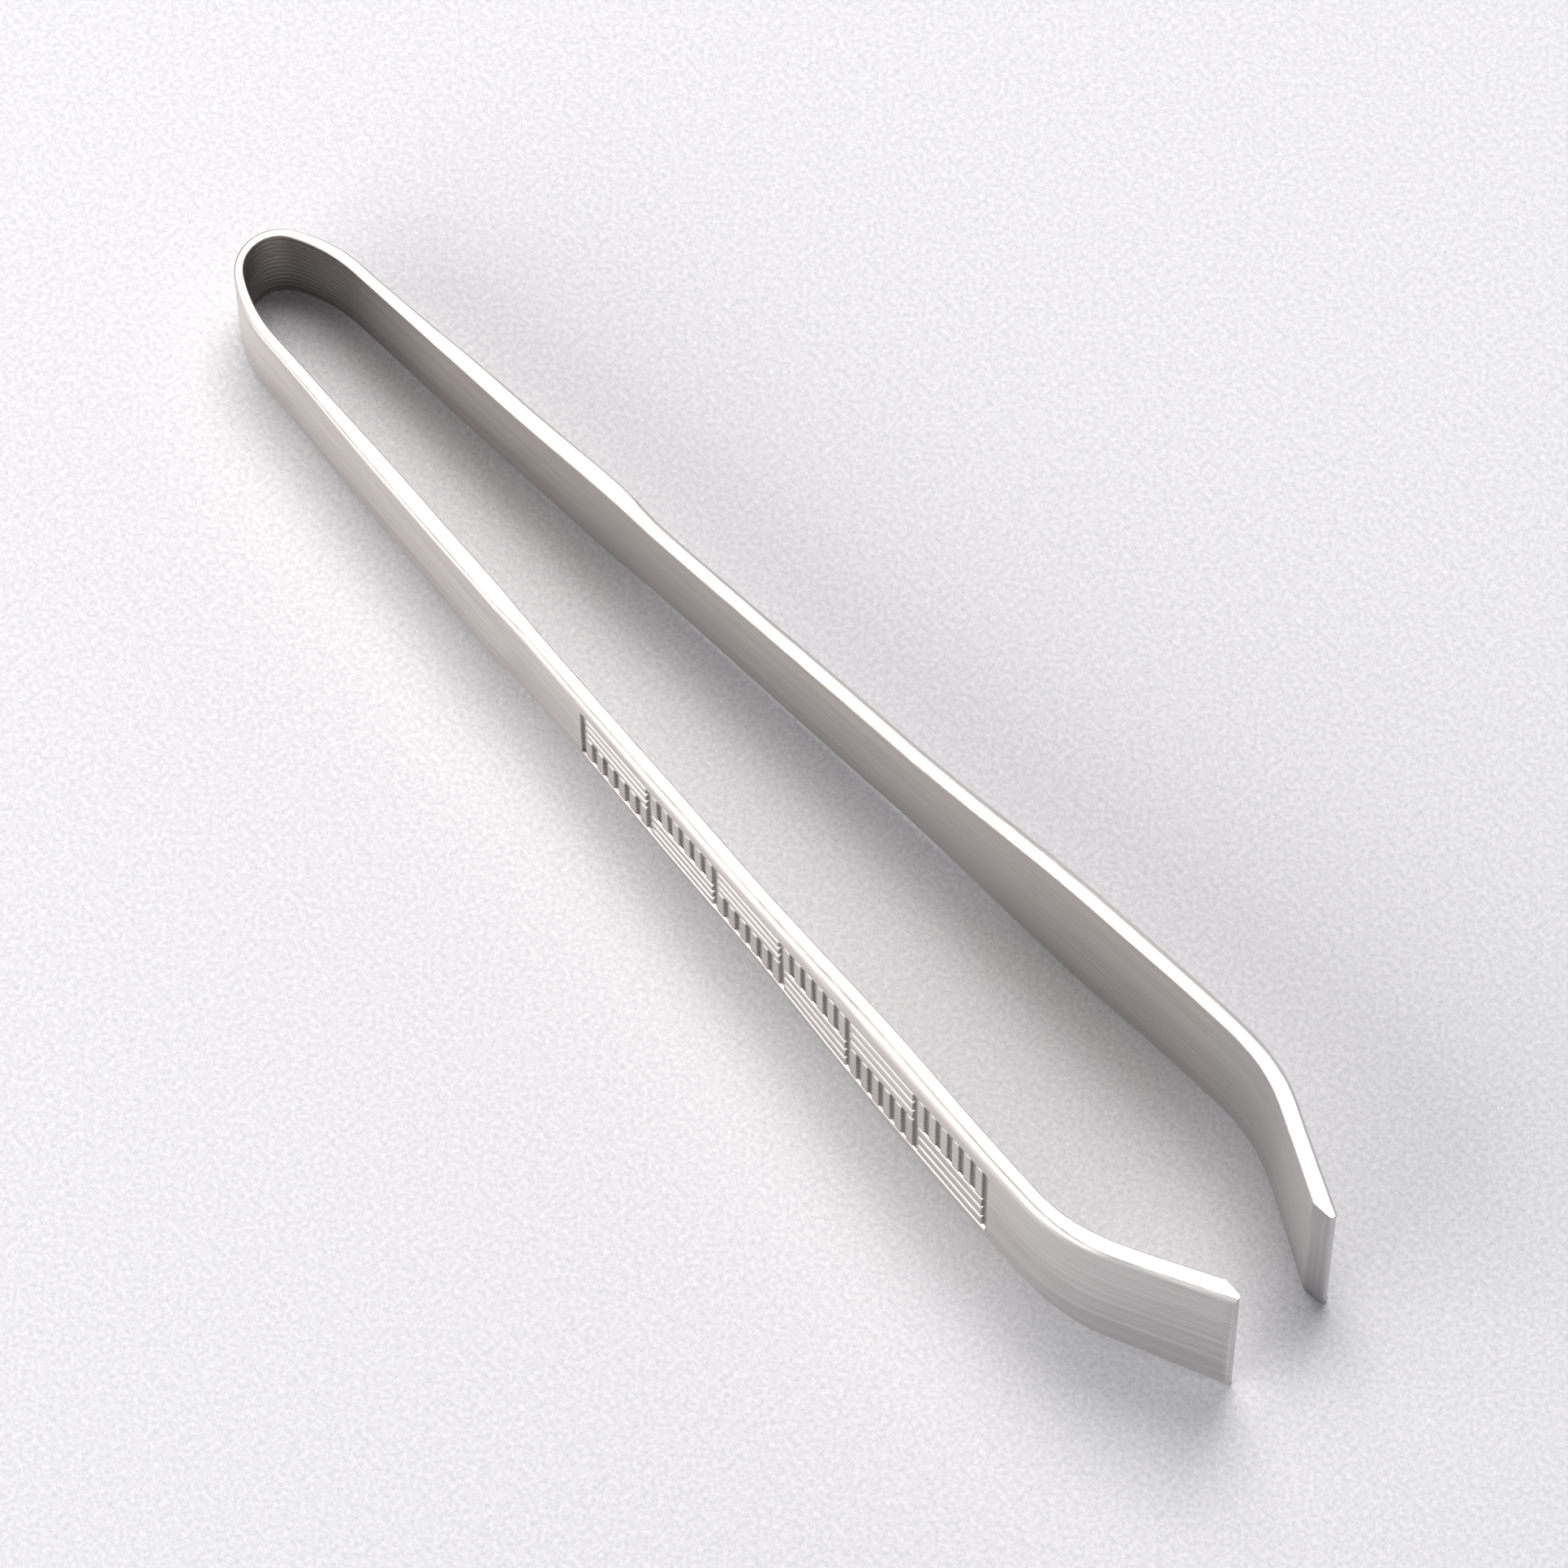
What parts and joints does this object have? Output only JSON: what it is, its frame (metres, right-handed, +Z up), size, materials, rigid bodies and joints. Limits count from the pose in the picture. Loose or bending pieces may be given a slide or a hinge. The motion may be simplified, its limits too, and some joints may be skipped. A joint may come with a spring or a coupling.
{
  "type": "print tongs",
  "caption": "Sprung steel tongs for lifting wet photographic prints from darkroom trays, with textured grips and broad turned-in jaws.",
  "frame": {"origin": "centre of the footprint on the surface that the tongs lie on, midway between bow and jaws", "axes": "+X from the bow to the jaws, +Y towards the left arm, +Z up; the tongs lie with the strip on edge"},
  "size_m": [0.2164, 0.0412, 0.0317],
  "materials": {
    "spring_steel": "satin, fine lengthwise brushing",
    "grip_steel": "satin, pressed basket-weave grip pattern",
    "jaw_steel": "satin, ground meeting ends"
  },
  "bodies": {
    "bow": {"spring_bow": "spring_steel"},
    "left_shank": {"left_shank": "spring_steel"},
    "left_grip": {"left_grip": "grip_steel", "left_jaw": "jaw_steel"},
    "right_shank": {"right_shank": "spring_steel"},
    "right_grip": {"right_grip": "grip_steel", "right_jaw": "jaw_steel"}
  },
  "joints": [
    {"name": "left_bow_flex", "type": "hinge", "parent": "bow", "child": "left_shank", "pos_m": [-0.09969, 0.0073, 0.00857], "axis": [0.0352, 0, -0.9994], "range_deg": [0, 1.94], "stiffness_Nm_per_rad": 31},
    {"name": "left_step_flex", "type": "hinge", "parent": "left_shank", "child": "left_grip", "pos_m": [-0.0381, 0.01186, 0.01074], "axis": [0.0352, 0, -0.9994], "range_deg": [0, 0.485], "stiffness_Nm_per_rad": 68},
    {"name": "right_bow_flex", "type": "hinge", "parent": "bow", "child": "right_shank", "pos_m": [-0.09969, -0.0073, 0.00857], "axis": [-0.0352, 0, 0.9994], "range_deg": [0, 1.94], "stiffness_Nm_per_rad": 31},
    {"name": "right_step_flex", "type": "hinge", "parent": "right_shank", "child": "right_grip", "pos_m": [-0.0381, -0.01186, 0.01074], "axis": [-0.0352, 0, 0.9994], "range_deg": [0, 0.485], "stiffness_Nm_per_rad": 68}
  ],
  "couplings": [
    {"joint": "right_bow_flex", "follows": "left_bow_flex", "ratio": 1},
    {"joint": "left_step_flex", "follows": "left_bow_flex", "ratio": 0.25},
    {"joint": "right_step_flex", "follows": "left_bow_flex", "ratio": 0.25}
  ]
}
